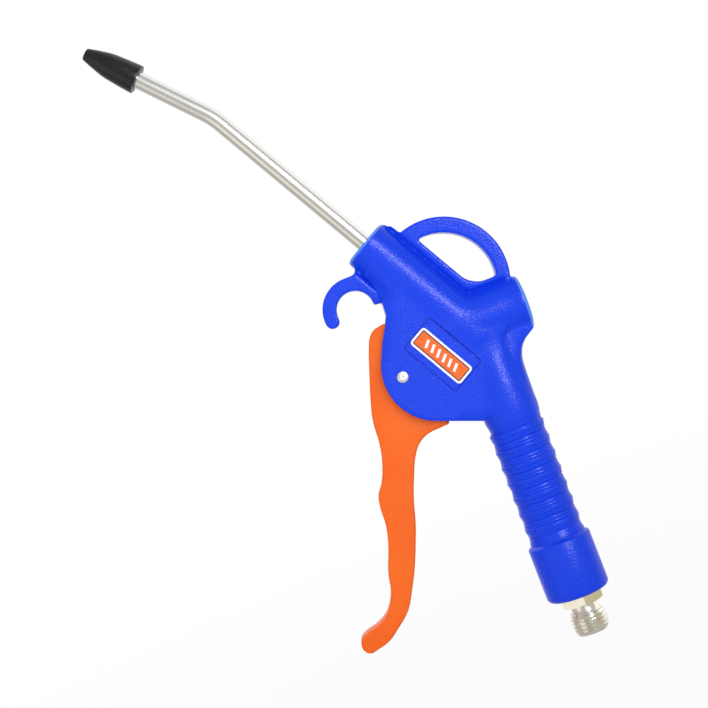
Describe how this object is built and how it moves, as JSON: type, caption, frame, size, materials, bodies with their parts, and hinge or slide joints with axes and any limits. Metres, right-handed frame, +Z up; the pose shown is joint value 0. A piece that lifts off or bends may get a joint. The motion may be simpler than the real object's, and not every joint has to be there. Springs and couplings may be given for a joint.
{
  "type": "air blow gun",
  "caption": "Hand-held pneumatic air duster with a ribbed grip, a long pull lever, a bent steel nozzle with a rubber tip, a hanging loop and a threaded inlet.",
  "frame": {"origin": "centre of the inlet connector's end face, on the grip's axis", "axes": "+Z up along the grip, the nozzle and the lever towards -X, Y across the gun; the lever, loop and nozzle lie in the XZ plane"},
  "size_m": [0.1129, 0.0222, 0.25],
  "materials": {
    "body": "fine spark-eroded grain, blue",
    "label": "printed orange sticker with a white border",
    "nickel": "nickel plated",
    "brass": "machined",
    "seal_rubber": "smooth black",
    "tip_rubber": "moulded black, slightly glossy",
    "steel_tube": "drawn stainless steel",
    "steel_pin": "ground and plated",
    "steel_spring": "spring wire",
    "steel_stem": "turned",
    "lever": "smooth moulded orange"
  },
  "bodies": {
    "gun": {"body": "body", "label_left": "label", "label_right": "label", "grip_insert": "brass", "inlet_connector": "nickel", "inlet_washer": "seal_rubber", "valve_sleeve": "brass", "sleeve_front_seal": "seal_rubber", "sleeve_rear_seal": "seal_rubber", "gland_bush": "brass", "gland_seal": "seal_rubber", "return_spring": "steel_spring", "end_plug": "brass", "plug_seal": "seal_rubber", "nozzle_insert": "brass", "nozzle_seal": "seal_rubber", "nozzle_tube": "steel_tube", "rubber_tip": "tip_rubber", "lever_pin": "steel_pin"},
    "lever": {"lever": "lever"},
    "stem": {"valve_stem": "steel_stem", "piston_seal": "seal_rubber", "valve_washer": "seal_rubber", "spring_plate": "brass", "stem_nut": "brass"}
  },
  "joints": [
    {"name": "lever_pivot", "type": "hinge", "parent": "gun", "child": "lever", "pos_m": [-0.0303, 0, 0.1055], "axis": [0, -1, 0], "range_deg": [0, 15], "stiffness_Nm_per_rad": 1.5, "springref_deg": -11.46},
    {"name": "stem_slide", "type": "slide", "parent": "gun", "child": "stem", "axis": [-1, 0, 0], "range_m": [0, 0.0026], "deforming": ["return_spring"]}
  ],
  "couplings": [
    {"joint": "stem_slide", "follows": "lever_pivot", "m_per_rad": 0.0095}
  ]
}
